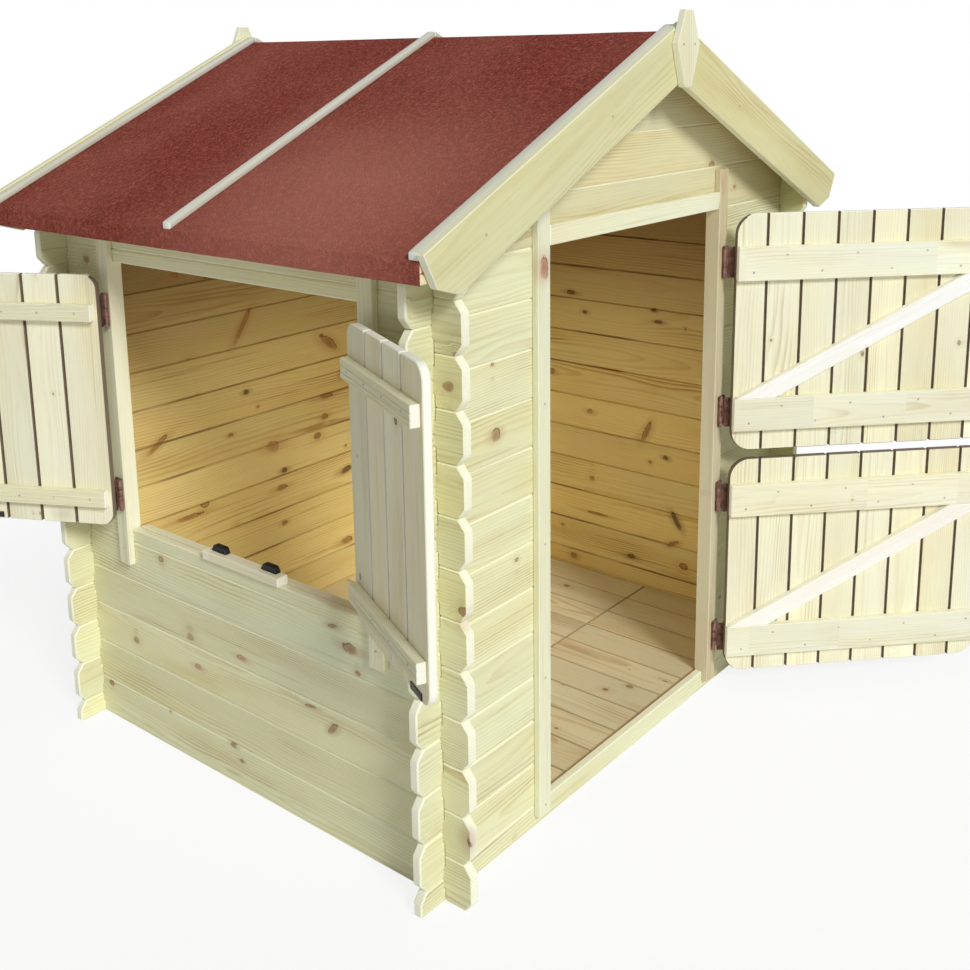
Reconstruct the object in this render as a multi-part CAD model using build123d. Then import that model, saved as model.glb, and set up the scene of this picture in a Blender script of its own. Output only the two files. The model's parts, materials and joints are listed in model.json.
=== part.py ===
from build123d import *
import math
import os

# A wooden garden playhouse of notched wall boards with a felted roof, a two-part door and two shutters.
# The origin is the middle of its base on the ground. The door gable faces -Y and the window faces -X.

# Walls: boards stacked edge on edge, the side walls starting with a full board, the gables with a half one
wallWidth = 1220.0
wallDepth = 1020.0
wallThick = 19.0
boardCover = 88.0
stubLength = 60.0
stubBevelLong = 15.0
stubBevelTall = 18.0
seamGap = 0.2
lapGap = 0.2

# Roof: felt on boards that run from the ridge down to the eaves
roofSlope = 25.0
ridgeHeight = 1458.0
eaveReach = 93.0
frontReach = 62.0
backReach = 100.0
roofBoardThick = 16.0
roofBoardCover = 90.0
feltThick = 2.0
feltSetback = 1.0
eaveBattenSize = 16.0
roofGap = 0.3
ridgeGap = 0.2
purlinWidth = 28.0
purlinTall = 60.0

# Roof battens lie on the felt at both verges and in the middle
battenWidth = 22.0
battenThick = 12.0

# Bargeboards cover the ends of the roof boards, with a finial over each apex
bargeThick = 16.0
bargeDeep = 97.0
bargeRise = 3.0
bargeOver = 10.0
bargeEndIn = 29.0
bargeEndDown = 54.0
bargeFootIn = 80.0
finialThick = 14.0
finialRise = 37.0
finialShoulder = 61.0
finialTall = 138.0
finialHalfWidth = 40.0
finialHalfTip = 13.0

# Floor
bearerTall = 28.0
bearerWide = 40.0
bearerPitch = 170.0
floorThick = 15.0
floorCover = 91.0
floorGap = 1.0
floorEdgeGap = 2.0
floorButtBearer = -1

# Door opening, with its middle to the left of the wall's middle
doorOpenWidth = 600.0
doorOpenCentre = -20.0
doorOpenTop = 1100.0

# Window opening
windowOpenWidth = 690.0
windowOpenCentre = -14.0
windowSill = 469.0
windowHead = 1029.0

# Casings are battens round the openings, and the upright ones turn in over the ends of the boards
casingWide = 35.0
casingThick = 14.0
casingReturn = 5.0
doorCasingFoot = 22.0
doorCasingOver = 46.0
windowCasingUnder = 76.0
casingTopGap = 2.0
sillBattenThick = 18.0
sillBattenTall = 45.0

# Leaves of the door and the shutters: upright boards with ledges on the inner face
leafBoardThick = 14.0
ledgeThick = 16.0
leafBoardGap = 1.0
leafSideGap = 3.0
doorLowerFoot = 55.0
doorLowerTop = 555.0
doorUpperFoot = 575.0
doorUpperTop = 1090.0
leafBoardCover = 77.0
doorCorner = 44.0
doorLedgeTall = 72.0
upperLedgeFromFoot = 47.0
upperLedgeFromTop = 68.0
lowerLedgeFromFoot = 41.0
lowerLedgeFromTop = 56.0
braceCutLong = 86.0
braceInset = 4.0
braceGap = 0.3
shutterFoot = 490.0
shutterTop = 1008.0
shutterWide = 320.0
shutterCorner = 27.0
shutterLedgeTall = 34.0
shutterLedgeSetback = 8.0
shutterLedgeFromFoot = 42.0
shutterLedgeFromTop = 57.0

# Angles at which the leaves stand open
doorOpenAngle = 136.0
leftShutterAngle = 152.0
rightShutterAngle = 154.0

# Hinges: flat plates with three knuckles on a pin
axisStand = 6.0
hingeTall = 66.0
hingePlateThick = 2.0
knuckleRadius = 4.5
pinRadius = 2.2
pinGap = 0.08
knuckleGap = 0.4
knuckleClear = 0.8
framePlateWide = 18.0
leafPlateReach = 26.0
doorHingeOut = 16.0
shutterHingeOut = 5.0
leafProud = 0.2

# Magnetic catches and their strike plates
catchGap = 0.4
catchDeep = 15.0
doorCatchOut = 9.0
doorCatchTall = 32.0
doorCatchFromEdge = 9.0
doorStrikeWide = 16.0
doorStrikeTall = 40.0
strikeThick = 2.0
strikeInset = 2.0
catchLong = 44.0
catchTall = 13.0
catchTopLong = 30.0
shutterStrikeLong = 45.0
shutterStrikeTall = 12.0
shutterStrikeFromEdge = 50.0
shutterStrikeFromFoot = 3.0
blockLong = 218.0
blockDeep = 26.0
blockTall = 18.0
blockSetback = 8.0

# Screws
screwHeadRadius = 3.5
screwHeadTall = 0.8
casingScrewStep = 260.0
casingScrewShare = 0.2
bargeScrewInner = 228.0
bargeScrewOuter = 572.0

os.makedirs("parts", exist_ok=True)


def save(name, solids):
    export_step(Compound(list(solids)), f"parts/{name}.step")


def block(x0, x1, y0, y1, z0, z1):
    return Location(((x0 + x1) / 2, (y0 + y1) / 2, (z0 + z1) / 2)) * Box(x1 - x0, y1 - y0, z1 - z0)


def prismAlongY(outline, y0, y1):
    face = make_face(Polyline(*[(x, y0, z) for x, z in outline], close=True))
    return extrude(face, amount=y1 - y0, dir=(0, 1, 0))


def prismAlongX(outline, x0, x1):
    face = make_face(Polyline(*[(x0, y, z) for y, z in outline], close=True))
    return extrude(face, amount=x1 - x0, dir=(1, 0, 0))


def rod(radius, z0, z1):
    return Location((0, 0, (z0 + z1) / 2)) * Cylinder(radius, z1 - z0)


def screwHead(x, y, z, away):
    # A low round head that lies on a face whose outward direction is the vector away
    plane = Plane(origin=(x, y, z), z_dir=away)
    return extrude(plane * Circle(screwHeadRadius), amount=screwHeadTall)


halfWidth = wallWidth / 2
halfDepth = wallDepth / 2
innerHalfWidth = halfWidth - wallThick
innerHalfDepth = halfDepth - wallThick
slope = math.tan(math.radians(roofSlope))
lean = math.cos(math.radians(roofSlope))
eaveHalf = halfWidth + eaveReach
roofFront = -halfDepth - frontReach
roofBack = halfDepth + backReach


def feltTopAt(x):
    return ridgeHeight - slope * abs(x)


def boardTopAt(x):
    return feltTopAt(x) - feltThick / lean


def roofUnderAt(x):
    return boardTopAt(x) - roofBoardThick / lean


def roofSpace(gap):
    # Everything above the underside of the roof boards, less a gap
    side = 2 * eaveHalf
    outline = [
        (-side, roofUnderAt(side) - gap),
        (0, roofUnderAt(0) - gap),
        (side, roofUnderAt(side) - gap),
        (side, ridgeHeight + side),
        (-side, ridgeHeight + side),
    ]
    return prismAlongY(outline, 2 * roofFront, 2 * roofBack)


def stubEnd(end, z0, z1, bevelFoot):
    # Outline of a board's projecting end, from its top to its foot on the low side
    foot = (end, z0 + stubBevelTall) if bevelFoot else (end, z0)
    points = [(end + stubBevelLong, z1), (end, z1 - stubBevelTall), foot]
    if bevelFoot:
        points.append((end + stubBevelLong, z0))
    return points


def boardOutline(low, high, z0, z1, nominal, crossing, stubs):
    # A wall board seen square on, notched a quarter of its height wherever the other wall crosses it
    quarter = boardCover / 4
    lowNotch = nominal + quarter + lapGap
    highNotch = nominal + boardCover - quarter - lapGap
    bevelFoot = nominal >= 0
    near = (crossing - wallThick - lapGap, crossing + lapGap)
    left = [(low, z1), (low, z0)]
    right = [(high, z0), (high, z1)]
    foot = []
    top = []
    if stubs[0]:
        left = stubEnd(low, z0, z1, bevelFoot)
        foot += notchAt(-near[1], -near[0], z0, lowNotch)
        top += notchAt(-near[1], -near[0], z1, highNotch)
    if stubs[1]:
        right = [(-x, z) for x, z in reversed(stubEnd(-high, z0, z1, bevelFoot))]
        foot += notchAt(near[0], near[1], z0, lowNotch)
        top += notchAt(near[0], near[1], z1, highNotch)
    return left + foot + right + list(reversed(top))


def notchAt(start, end, edge, level):
    return [(start, edge), (start, level), (end, level), (end, edge)] if level > 0 else []


def boardStarts(first, top):
    # Heights at which boards start; the last board reaches the top and is at least half a board tall
    count = int((top - first) / boardCover + 0.5)
    return [first + boardCover * k for k in range(count)]


def wallBoards(solidOf, crossing, first, top, opening):
    # Pairs of nominal height and solid, each board cut where the opening interrupts it
    reach = crossing + stubLength
    left, right, sill, head = opening
    starts = boardStarts(first, top)
    pieces = []
    for nominal in starts:
        z0 = nominal + seamGap / 2 if nominal > 0 else 0
        z1 = ridgeHeight if nominal == starts[-1] else nominal + boardCover - seamGap / 2
        ends = [(-reach, reach, (True, True))]
        fills = []
        if z1 > sill + seamGap and z0 < head - seamGap:
            ends = [(-reach, left, (True, False)), (right, reach, (False, True))]
            fills = [(z0, sill), (head, z1)]
        for low, high, stubs in ends:
            pieces.append((nominal, solidOf(boardOutline(low, high, z0, z1, nominal, crossing, stubs))))
        for foot, over in fills:
            if over > foot + seamGap:
                low, high = left + seamGap / 2, right - seamGap / 2
                outline = [(low, over), (low, foot), (high, foot), (high, over)]
                pieces.append((nominal, solidOf(outline)))
    return pieces


def underRoof(pieces):
    # The boards that the roof trims, and those that it leaves as they are
    space = roofSpace(roofGap)
    solids = []
    for nominal, board in pieces:
        if nominal + boardCover > roofUnderAt(halfWidth + stubLength) - boardCover:
            solids += [(nominal, one) for one in (board - space).solids()]
        else:
            solids.append((nominal, board))
    return solids


# Floor on bearers
floorTop = bearerTall + floorThick
bearerHalf = innerHalfWidth - floorEdgeGap
bearerCount = int((innerHalfDepth - bearerWide / 2) / bearerPitch)
bearers = []
for k in range(-bearerCount, bearerCount + 1):
    y = k * bearerPitch
    bearers.append(block(-bearerHalf, bearerHalf, y - bearerWide / 2, y + bearerWide / 2, 0, bearerTall))
save("floor_bearers", bearers)

floorHalfDepth = innerHalfDepth - floorEdgeGap
floorCount = round(2 * bearerHalf / floorCover)
floorStep = 2 * bearerHalf / floorCount
floorPieces = []
floorButt = floorButtBearer * bearerPitch
for k in range(floorCount):
    x0 = -bearerHalf + k * floorStep + floorGap / 2
    x1 = x0 + floorStep - floorGap
    floorPieces.append(block(x0, x1, -floorHalfDepth, floorButt - floorGap / 2, bearerTall, floorTop))
    floorPieces.append(block(x0, x1, floorButt + floorGap / 2, floorHalfDepth, bearerTall, floorTop))
save("floor_boards", floorPieces)

# Walls
doorLeft = doorOpenCentre - doorOpenWidth / 2
doorRight = doorOpenCentre + doorOpenWidth / 2
doorSill = boardCover / 2
windowNear = windowOpenCentre - windowOpenWidth / 2
windowFar = windowOpenCentre + windowOpenWidth / 2
doorway = (doorLeft - casingReturn, doorRight + casingReturn, doorSill, doorOpenTop)
windowGap = (windowNear - casingReturn, windowFar + casingReturn, windowSill, windowHead)
noGap = (0, 0, 2 * ridgeHeight, 2 * ridgeHeight)


def frontSolid(outline):
    return prismAlongY(outline, -halfDepth, -innerHalfDepth)


def backSolid(outline):
    return prismAlongY(outline, innerHalfDepth, halfDepth)


def windowSolid(outline):
    return prismAlongX(outline, -halfWidth, -innerHalfWidth)


def farSolid(outline):
    return prismAlongX(outline, innerHalfWidth, halfWidth)


sideTop = roofUnderAt(halfWidth)
gableTop = roofUnderAt(0)
purlinTop = roofUnderAt(purlinWidth / 2) - roofGap
purlinFoot = purlinTop - purlinTall
purlinHole = block(
    -purlinWidth / 2 - lapGap,
    purlinWidth / 2 + lapGap,
    2 * roofFront,
    2 * roofBack,
    purlinFoot - lapGap,
    ridgeHeight,
)
windowWall = underRoof(wallBoards(windowSolid, halfDepth, 0, sideTop, windowGap))
farWall = underRoof(wallBoards(farSolid, halfDepth, 0, sideTop, noGap))
save("window_wall", [solid for nominal, solid in windowWall])
save("far_side_wall", [solid for nominal, solid in farWall])

for name, solidOf, opening in (("front", frontSolid, doorway), ("back", backSolid, noGap)):
    boards = underRoof(wallBoards(solidOf, halfWidth, -boardCover / 2, gableTop, opening))
    lower = [solid for nominal, solid in boards if nominal + boardCover <= sideTop]
    upper = [solid for nominal, solid in boards if nominal + boardCover > sideTop]
    save(f"{name}_wall", lower)
    save(f"{name}_gable", [one for solid in upper for one in (solid - purlinHole).solids()])

# Ridge purlin and roof boards
save("ridge_purlin", [block(-purlinWidth / 2, purlinWidth / 2, roofFront, roofBack, purlinFoot, purlinTop)])

roofLong = roofBack - roofFront
roofCount = round(roofLong / roofBoardCover)
roofStep = roofLong / roofCount
feltFront = roofFront + feltSetback
feltBack = roofBack - feltSetback
battenFoot = roofUnderAt(eaveHalf) - eaveBattenSize
feltOuter = eaveHalf + feltThick
battenSpots = (feltFront, (feltFront + feltBack - battenWidth) / 2, feltBack - battenWidth)
for name, side in (("left", -1), ("right", 1)):
    profile = [
        (side * ridgeGap, boardTopAt(ridgeGap)),
        (side * ridgeGap, roofUnderAt(ridgeGap)),
        (side * eaveHalf, roofUnderAt(eaveHalf)),
        (side * eaveHalf, boardTopAt(eaveHalf)),
    ]
    boards = []
    for k in range(roofCount):
        y = roofFront + k * roofStep
        boards.append(prismAlongY(profile, y + seamGap / 2, y + roofStep - seamGap / 2))
    save(f"roof_boards_{name}", boards)
    felt = [
        (side * ridgeGap, boardTopAt(ridgeGap)),
        (side * ridgeGap, feltTopAt(ridgeGap)),
        (side * feltOuter, feltTopAt(feltOuter)),
        (side * feltOuter, battenFoot),
        (side * eaveHalf, battenFoot),
        (side * eaveHalf, boardTopAt(eaveHalf)),
    ]
    save(f"felt_{name}", [prismAlongY(felt, feltFront, feltBack)])
    lift = battenThick / lean
    batten = [
        (side * ridgeGap, feltTopAt(ridgeGap)),
        (side * ridgeGap, feltTopAt(ridgeGap) + lift),
        (side * feltOuter, feltTopAt(feltOuter) + lift),
        (side * feltOuter, feltTopAt(feltOuter)),
    ]
    save(f"roof_battens_{name}", [prismAlongY(batten, y, y + battenWidth) for y in battenSpots])

eaveBattens = []
battenTop = roofUnderAt(eaveHalf)
for x0 in (-eaveHalf, eaveHalf - eaveBattenSize):
    eaveBattens.append(block(x0, x0 + eaveBattenSize, feltFront, feltBack, battenFoot, battenTop))
save("eave_battens", eaveBattens)

# Bargeboards, finials and their screws
bargeTop = ridgeHeight + battenThick / lean + bargeRise
bargeDrop = bargeDeep / lean


def bargeTopAt(x):
    return bargeTop - slope * abs(x)


bargeHalf = eaveHalf + bargeOver
footHalf = bargeHalf - bargeFootIn
finialTop = ridgeHeight + finialRise
finialWide = finialTop - finialShoulder
finialFoot = finialTop - finialTall
finialOutline = [
    (-finialHalfTip, finialTop),
    (-finialHalfWidth, finialWide),
    (-finialHalfTip, finialFoot),
    (finialHalfTip, finialFoot),
    (finialHalfWidth, finialWide),
    (finialHalfTip, finialTop),
]
bargeScrews = []
for name, face, outward in (("front", roofFront, -1), ("back", roofBack, 1)):
    y0, y1 = sorted((face, face + outward * bargeThick))
    for hand, side in (("left", -1), ("right", 1)):
        outline = [
            (side * ridgeGap, bargeTopAt(ridgeGap)),
            (side * ridgeGap, bargeTopAt(ridgeGap) - bargeDrop),
            (side * footHalf, bargeTopAt(footHalf) - bargeDrop),
            (side * (bargeHalf - bargeEndIn), bargeTopAt(bargeHalf) - bargeEndDown),
            (side * bargeHalf, bargeTopAt(bargeHalf)),
        ]
        save(f"bargeboard_{name}_{hand}", [prismAlongY(outline, y0, y1)])
        for x in (bargeScrewInner, bargeScrewOuter):
            z = bargeTopAt(x) - bargeDrop / 2
            bargeScrews.append(screwHead(side * x, face + outward * bargeThick, z, (0, outward, 0)))
    finialFace = face + outward * bargeThick
    z0, z1 = sorted((finialFace, finialFace + outward * finialThick))
    save(f"finial_{name}", [prismAlongY(finialOutline, z0, z1)])
    for x in (-finialHalfWidth / 2, finialHalfWidth / 2):
        bargeScrews.append(screwHead(x, finialFace + outward * finialThick, finialWide, (0, outward, 0)))
save("roof_edge_screws", bargeScrews)

# Casings
doorFace = -halfDepth - casingThick
windowFace = -halfWidth - casingThick
doorCasingTop = doorOpenTop + casingWide + doorCasingOver
casingScrews = []
doorReturns = (doorLeft - casingReturn, doorRight)
for name, x0, xTurn in zip(("left", "right"), (doorLeft - casingWide, doorRight), doorReturns):
    x1 = x0 + casingWide
    casing = block(x0, x1, doorFace, -halfDepth, doorCasingFoot, doorCasingTop)
    turned = block(xTurn, xTurn + casingReturn, -halfDepth, -innerHalfDepth, doorSill, doorOpenTop)
    save(f"door_casing_{name}", [casing + turned])
    for k in range(int((doorCasingTop - doorCasingFoot) / casingScrewStep) + 1):
        z = doorCasingFoot + boardCover / 4 + k * casingScrewStep
        if z < doorCasingTop - 2 * screwHeadRadius and name == "left":
            casingScrews.append(screwHead((x0 + x1) / 2, doorFace, z, (0, -1, 0)))
headTop = doorOpenTop + casingWide
save("door_head_casing", [block(doorLeft, doorRight, doorFace, -halfDepth, doorOpenTop, headTop)])

windowCasingFoot = windowSill - windowCasingUnder
windowCasingTop = roofUnderAt(halfWidth + casingThick) - casingTopGap
shutterLevels = (
    shutterFoot + shutterLedgeFromFoot + shutterLedgeTall / 2,
    shutterTop - shutterLedgeFromTop - shutterLedgeTall / 2,
)
overHinges = windowCasingTop - shutterLevels[1] - hingeTall / 2
windowScrewLevels = (windowCasingFoot + casingWide, windowCasingTop - casingScrewShare * overHinges)
windowReturns = (windowNear - casingReturn, windowFar)
for name, y0, yTurn in zip(("near", "far"), (windowNear - casingWide, windowFar), windowReturns):
    y1 = y0 + casingWide
    casing = block(windowFace, -halfWidth, y0, y1, windowCasingFoot, windowCasingTop)
    turned = block(-halfWidth, -innerHalfWidth, yTurn, yTurn + casingReturn, windowSill, windowHead)
    save(f"window_casing_{name}", [casing + turned])
    for z in windowScrewLevels:
        casingScrews.append(screwHead(windowFace, (y0 + y1) / 2, z, (-1, 0, 0)))
save("casing_screws", casingScrews)
sillFoot = windowSill - sillBattenTall
sillInner = -innerHalfWidth + sillBattenThick
save("window_sill_batten", [block(-innerHalfWidth, sillInner, windowNear, windowFar, sillFoot, windowSill)])

# Leaves are drawn closed, seen from the hinge pin: the leaf reaches along -X and outward is +Y
leafOuter = -axisStand + leafProud
leafInner = leafOuter - leafBoardThick
ledgeInner = leafInner - ledgeThick


def leafBoards(edge, width, foot, top, corner):
    plane = Plane(origin=(-edge - width / 2, leafOuter, (foot + top) / 2), x_dir=(1, 0, 0), z_dir=(0, -1, 0))
    outline = extrude(plane * RectangleRounded(width, top - foot, corner), amount=leafBoardThick)
    count = max(2, round(width / leafBoardCover))
    first = (width - (count - 2) * leafBoardCover) / 2
    seams = [0] + [first + k * leafBoardCover for k in range(count - 1)] + [width]
    boards = []
    for k in range(count):
        x1 = -edge - seams[k] - (leafBoardGap / 2 if k else 0)
        x0 = -edge - seams[k + 1] + (leafBoardGap / 2 if k < count - 1 else 0)
        boards += (outline & block(x0, x1, leafInner, leafOuter, foot, top)).solids()
    return boards, [(seams[k] + seams[k + 1]) / 2 for k in range(count)]


def ledge(edge, width, setback, z0, z1):
    return block(-edge - width + setback, -edge - setback, ledgeInner, leafInner, z0, z1)


def braceBetween(edge, width, z0, z1):
    foot = -edge - braceInset
    over = -edge - width + braceInset
    outline = [(foot, z0), (foot - braceCutLong, z0), (over, z1), (over + braceCutLong, z1)]
    return prismAlongY(outline, ledgeInner, leafInner)


def ledgeScrews(edge, spots, levels, spread):
    heads = []
    for level in levels:
        for k, spot in enumerate(spots):
            z = level + (spread if k % 2 else -spread)
            heads.append(screwHead(-edge - spot, ledgeInner, z, (0, -1, 0)))
    return heads


def knuckleLevels(z):
    # Foot and top of the three knuckles of a hinge centred at height z
    third = hingeTall / 3
    foot = z - hingeTall / 2
    return [(foot + k * third, foot + (k + 1) * third - (knuckleGap if k < 2 else 0)) for k in range(3)]


def hingeFrame(z):
    plateFoot = z - hingeTall / 2
    plateTop = z + hingeTall / 2
    near = knuckleRadius + knuckleClear
    y0, y1 = -axisStand, -axisStand + hingePlateThick
    part = rod(pinRadius, plateFoot, plateTop)
    levels = knuckleLevels(z)
    for z0, z1 in (levels[0], levels[2]):
        part = part + rod(knuckleRadius, z0, z1)
        part = part + block(0, near, y0, y1, z0, z1)
    return part + block(near, near + framePlateWide, y0, y1, plateFoot, plateTop)


def hingeLeaf(z, edge):
    plateFoot = z - hingeTall / 2
    near = knuckleRadius + knuckleClear
    y0, y1 = leafOuter, leafOuter + hingePlateThick
    z0, z1 = knuckleLevels(z)[1]
    bore = rod(pinRadius + pinGap, plateFoot, plateFoot + hingeTall)
    part = rod(knuckleRadius, z0, z1) + block(-near, 0, y0, y1, z0, z1)
    plate = block(-edge - leafPlateReach, -near, y0, y1, plateFoot, plateFoot + hingeTall)
    return (part + plate) - bore


def placed(solids, spot, turn, mirrored):
    moved = []
    for solid in solids:
        if mirrored:
            solid = mirror(solid, about=Plane.XZ)
        moved.append(Location(spot, (0, 0, turn)) * solid)
    return moved


def opened(solids, angle):
    return [Location((0, 0, 0), (0, 0, -angle)) * solid for solid in solids]


# Door leaves
doorEdge = doorHingeOut + leafSideGap
doorLeafWide = doorOpenWidth - 2 * leafSideGap
doorAxis = (doorRight + doorHingeOut, doorFace - axisStand, 0)
doorFrames = []
doorCatches = []
doorLeaves = (
    ("lower_door", doorLowerFoot, doorLowerTop, lowerLedgeFromFoot, lowerLedgeFromTop, False),
    ("upper_door", doorUpperFoot, doorUpperTop, upperLedgeFromFoot, upperLedgeFromTop, True),
)
catchFace = leafInner - strikeThick - catchGap
for name, foot, top, fromFoot, fromTop, catchAtFoot in doorLeaves:
    boards, middles = leafBoards(doorEdge, doorLeafWide, foot, top, doorCorner)
    levels = (foot + fromFoot + doorLedgeTall / 2, top - fromTop - doorLedgeTall / 2)
    ledges = [ledge(doorEdge, doorLeafWide, 0, z - doorLedgeTall / 2, z + doorLedgeTall / 2) for z in levels]
    braceFoot = levels[0] + doorLedgeTall / 2 + braceGap
    braceTop = levels[1] - doorLedgeTall / 2 - braceGap
    brace = [braceBetween(doorEdge, doorLeafWide, braceFoot, braceTop)]
    hinges = [hingeLeaf(z, doorEdge) for z in levels]
    heads = ledgeScrews(doorEdge, middles, levels, doorLedgeTall / 4)
    catchIn = doorCatchFromEdge + doorCatchTall / 2
    catchZ = foot + catchIn if catchAtFoot else top - catchIn
    freeEdge = -doorEdge - doorLeafWide
    x0 = freeEdge + strikeInset
    z0, z1 = catchZ - doorStrikeTall / 2, catchZ + doorStrikeTall / 2
    strike = [block(x0, x0 + doorStrikeWide, leafInner - strikeThick, leafInner, z0, z1)]
    groups = (
        ("boards", boards),
        ("ledges", ledges),
        ("brace", brace),
        ("hinges", hinges),
        ("screws", heads),
        ("strike", strike),
    )
    for label, solids in groups:
        save(f"{name}_{label}", placed(opened(solids, doorOpenAngle), doorAxis, 0, True))
    doorFrames += [hingeFrame(z) for z in levels]
    jamb = freeEdge - leafSideGap
    z0, z1 = catchZ - doorCatchTall / 2, catchZ + doorCatchTall / 2
    doorCatches.append(block(jamb, jamb + doorCatchOut, catchFace - catchDeep, catchFace, z0, z1))
save("door_hinge_frames", placed(doorFrames, doorAxis, 0, True))
save("door_catches", placed(doorCatches, doorAxis, 0, True))

# Shutters
shutterEdge = shutterHingeOut + leafSideGap
shutterSides = (
    ("left_shutter", windowFar + shutterHingeOut, 90, False, leftShutterAngle),
    ("right_shutter", windowNear - shutterHingeOut, -90, True, rightShutterAngle),
)
shutterFrames = []
shutterCatches = []
blockTop = windowSill + blockTall
for name, y, turn, mirrored, angle in shutterSides:
    spot = (windowFace - axisStand, y, 0)
    boards, middles = leafBoards(shutterEdge, shutterWide, shutterFoot, shutterTop, shutterCorner)
    ledges = []
    for z in shutterLevels:
        z0, z1 = z - shutterLedgeTall / 2, z + shutterLedgeTall / 2
        ledges.append(ledge(shutterEdge, shutterWide, shutterLedgeSetback, z0, z1))
    hinges = [hingeLeaf(z, shutterEdge) for z in shutterLevels]
    heads = ledgeScrews(shutterEdge, middles, shutterLevels, 0)
    strikeMiddle = -shutterEdge - shutterWide + shutterStrikeFromEdge
    x0, x1 = strikeMiddle - shutterStrikeLong / 2, strikeMiddle + shutterStrikeLong / 2
    z0 = shutterFoot + shutterStrikeFromFoot
    strike = [block(x0, x1, leafInner - strikeThick, leafInner, z0, z0 + shutterStrikeTall)]
    groups = (
        ("boards", boards),
        ("ledges", ledges),
        ("hinges", hinges),
        ("screws", heads),
        ("strike", strike),
    )
    for label, solids in groups:
        save(f"{name}_{label}", placed(opened(solids, angle), spot, turn, mirrored))
    shutterFrames += placed([hingeFrame(z) for z in shutterLevels], spot, turn, mirrored)
    outline = [
        (strikeMiddle - catchLong / 2, blockTop),
        (strikeMiddle + catchLong / 2, blockTop),
        (strikeMiddle + catchTopLong / 2, blockTop + catchTall),
        (strikeMiddle - catchTopLong / 2, blockTop + catchTall),
    ]
    shutterCatches += placed([prismAlongY(outline, catchFace - catchDeep, catchFace)], spot, turn, mirrored)
save("shutter_hinge_frames", shutterFrames)
save("shutter_catches", shutterCatches)
blockOuter = -halfWidth - blockSetback
save("catch_block", [block(
    blockOuter,
    blockOuter + blockDeep,
    windowOpenCentre - blockLong / 2,
    windowOpenCentre + blockLong / 2,
    windowSill,
    blockTop,
)])
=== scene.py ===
import json
import math
import random

import bpy
import numpy as np
from mathutils import Matrix, Vector


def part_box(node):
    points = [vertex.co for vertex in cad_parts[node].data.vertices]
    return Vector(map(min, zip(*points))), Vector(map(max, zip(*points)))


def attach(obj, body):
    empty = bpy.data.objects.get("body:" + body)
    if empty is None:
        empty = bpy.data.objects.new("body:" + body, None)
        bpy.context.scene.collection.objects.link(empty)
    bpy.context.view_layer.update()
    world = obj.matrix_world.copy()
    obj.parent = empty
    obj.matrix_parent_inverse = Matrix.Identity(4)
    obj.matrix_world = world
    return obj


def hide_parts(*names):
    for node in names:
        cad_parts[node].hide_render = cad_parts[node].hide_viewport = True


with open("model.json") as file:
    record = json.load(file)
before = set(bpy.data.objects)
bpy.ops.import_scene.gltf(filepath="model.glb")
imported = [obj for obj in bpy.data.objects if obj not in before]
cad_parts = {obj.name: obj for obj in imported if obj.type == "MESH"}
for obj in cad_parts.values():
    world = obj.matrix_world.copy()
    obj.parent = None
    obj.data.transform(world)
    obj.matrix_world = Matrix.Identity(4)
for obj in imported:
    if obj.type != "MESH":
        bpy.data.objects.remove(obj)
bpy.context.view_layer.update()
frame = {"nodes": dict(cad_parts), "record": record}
record = frame["record"]
bodyOfNode = {node: body for body, nodes in record["behaviour"]["bodies"].items() for node in nodes}
jointOfLeaf = {joint["child"]: joint for joint in record["behaviour"]["joints"]}
# Pieces are named as their nodes are, in one word, apart from these
otherTitles = {
    "front_wall": "frontWallBoards", "front_gable": "frontGableBoards", "back_wall": "backWallBoards",
    "back_gable": "backGableBoards", "window_wall": "windowWallBoards", "far_side_wall": "farWallBoards",
    "roof_battens_left": "roofLathsLeft", "roof_battens_right": "roofLathsRight",
}
print("frame loaded with", len(frame["nodes"]), "nodes")

# Selecting and finishing

toolValues = {
    # Distance in metres and angles in degrees
    "mergeWithin": 0.00001, "flatWithin": 1.0, "easeAbove": 30.0, "roundEaseAbove": 50.0,
    "boardSmooth": 30.0, "metalSmooth": 40.0,
}


def titleOf(node):
    first, *others = node.split("_")
    return otherTitles.get(node, first + "".join(word.title() for word in others))


def editMode():
    bpy.ops.object.mode_set(mode="EDIT")


def objectMode():
    bpy.ops.object.mode_set(mode="OBJECT")


def selectNothing():
    bpy.ops.object.select_all(action="DESELECT")


def selectOnly(*pieces):
    selectNothing()
    for piece in pieces:
        piece.select_set(True)
    bpy.context.view_layer.objects.active = pieces[0]


def applyModifier(piece, kind, **settings):
    selectOnly(piece)
    modifier = piece.modifiers.new(kind.title(), kind)
    for key, value in settings.items():
        setattr(modifier, key, value)
    bpy.ops.object.modifier_apply(modifier=modifier.name)


def easeEdges(piece, width, segments=1, angle=toolValues["easeAbove"]):
    applyModifier(
        piece, "BEVEL", width=width, segments=segments, limit_method="ANGLE",
        angle_limit=math.radians(angle), use_clamp_overlap=True,
    )


def smoothShade(piece, angle=toolValues["metalSmooth"]):
    selectOnly(piece)
    bpy.ops.object.shade_smooth_by_angle(angle=math.radians(angle))


def settle(piece):
    # Puts an object's place into its mesh
    selectOnly(piece)
    bpy.ops.object.transform_apply(location=True, rotation=True, scale=True)


def newBox(size, middle=(0, 0, 0), turn=0):
    bpy.ops.mesh.primitive_cube_add(size=1, location=middle)
    box = bpy.context.active_object
    box.scale = size
    box.rotation_euler.z = math.radians(turn)
    settle(box)
    return box


def newRod(vertices, radius, z0, z1):
    middle = (0, 0, (z0 + z1) / 2)
    bpy.ops.mesh.primitive_cylinder_add(vertices=vertices, radius=radius, depth=z1 - z0, location=middle)
    rod = bpy.context.active_object
    settle(rod)
    return rod


def joined(pieces):
    selectOnly(*pieces)
    bpy.ops.object.join()
    return bpy.context.active_object


def wear(piece, material):
    piece.data.materials.clear()
    piece.data.materials.append(material)


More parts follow.
